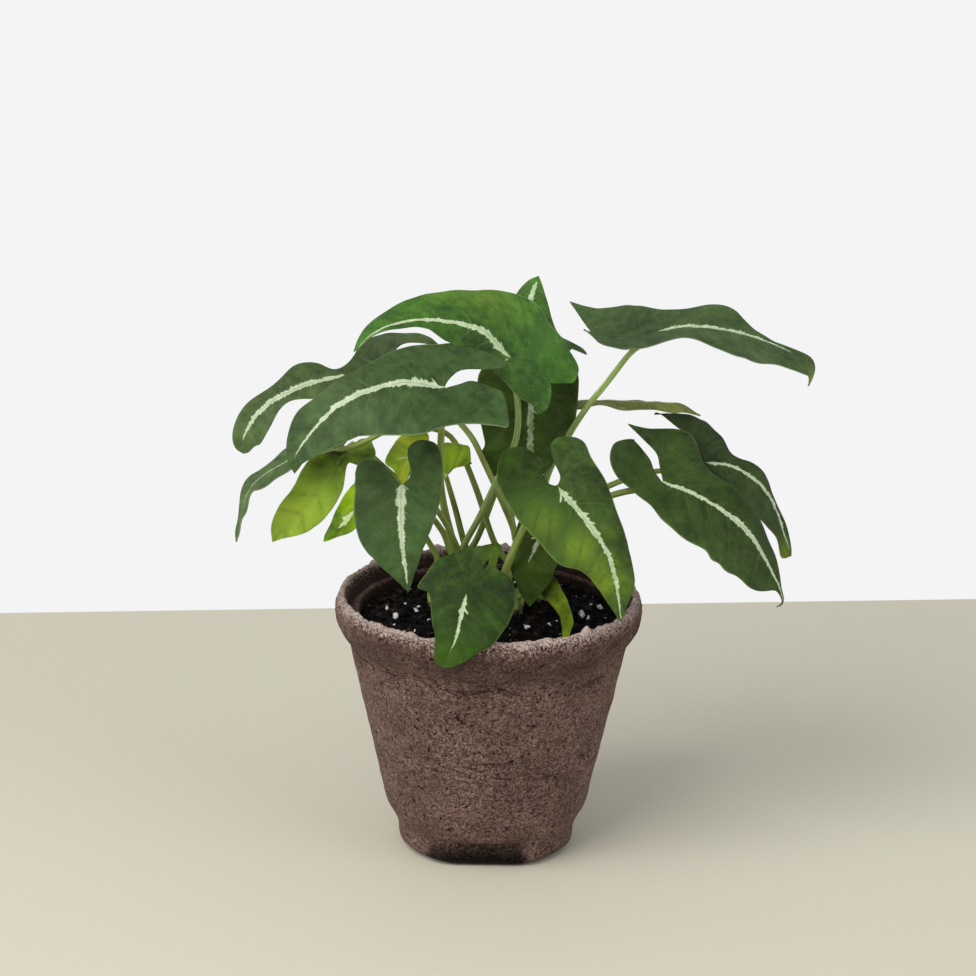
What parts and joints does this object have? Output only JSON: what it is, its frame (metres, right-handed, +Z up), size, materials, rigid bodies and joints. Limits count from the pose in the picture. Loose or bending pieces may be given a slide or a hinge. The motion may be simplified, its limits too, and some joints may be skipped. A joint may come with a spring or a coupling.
{
  "type": "potted syngonium",
  "caption": "Arrowhead-vine house plant with pale-ribbed, arrow-shaped leaves arching on slender stalks out of potting mix in a tapered, lipped fibre pot that stands on its flat base.",
  "frame": {"origin": "centre of the pot's flat base, on the surface it stands on", "axes": "+Z up, along the pot's axis; -Y is the front, the side the plant is seen from; +X is to the viewer's right"},
  "size_m": [0.2121, 0.1215, 0.2134],
  "materials": {
    "moulded_fibre": "moulded plant fibre, matt, fine pits and grain",
    "potting_mix": "loose dark peat and bark granules with white perlite",
    "petiole_green": "smooth, slightly waxy leaf stalk",
    "blade_deep_green": "satin leaf, pale mint rib",
    "blade_mid_green": "satin leaf, pale mint rib",
    "blade_bright_green": "satin young leaf",
    "blade_yellow_green": "satin yellowing leaf",
    "blade_dark_green": "satin leaf, pale mint rib"
  },
  "bodies": {
    "root": {"blade_centre": "blade_dark_green", "blade_crest": "blade_mid_green", "blade_far_left": "blade_deep_green", "blade_front": "blade_mid_green", "blade_front_left": "blade_deep_green", "blade_front_right": "blade_mid_green", "blade_hanging": "blade_deep_green", "blade_high_right": "blade_deep_green", "blade_inner_right": "blade_deep_green", "blade_level_right": "blade_bright_green", "blade_low_left": "blade_deep_green", "blade_low_right": "blade_deep_green", "blade_rear_right": "blade_deep_green", "blade_rear_top": "blade_mid_green", "blade_small_left": "blade_bright_green", "blade_strap": "blade_yellow_green", "blade_yellow_inner": "blade_yellow_green", "blade_yellow_left": "blade_yellow_green", "crown_east": "petiole_green", "crown_middle": "petiole_green", "crown_rear": "petiole_green", "crown_west": "petiole_green", "petiole_centre": "petiole_green", "petiole_crest": "petiole_green", "petiole_far_left": "petiole_green", "petiole_front": "petiole_green", "petiole_front_left": "petiole_green", "petiole_front_right": "petiole_green", "petiole_hanging": "petiole_green", "petiole_high_right": "petiole_green", "petiole_inner_right": "petiole_green", "petiole_level_right": "petiole_green", "petiole_low_left": "petiole_green", "petiole_low_right": "petiole_green", "petiole_rear_right": "petiole_green", "petiole_rear_top": "petiole_green", "petiole_small_left": "petiole_green", "petiole_strap": "petiole_green", "petiole_yellow_inner": "petiole_green", "petiole_yellow_left": "petiole_green", "pot": "moulded_fibre", "potting_mix": "potting_mix"}
  },
  "joints": []
}
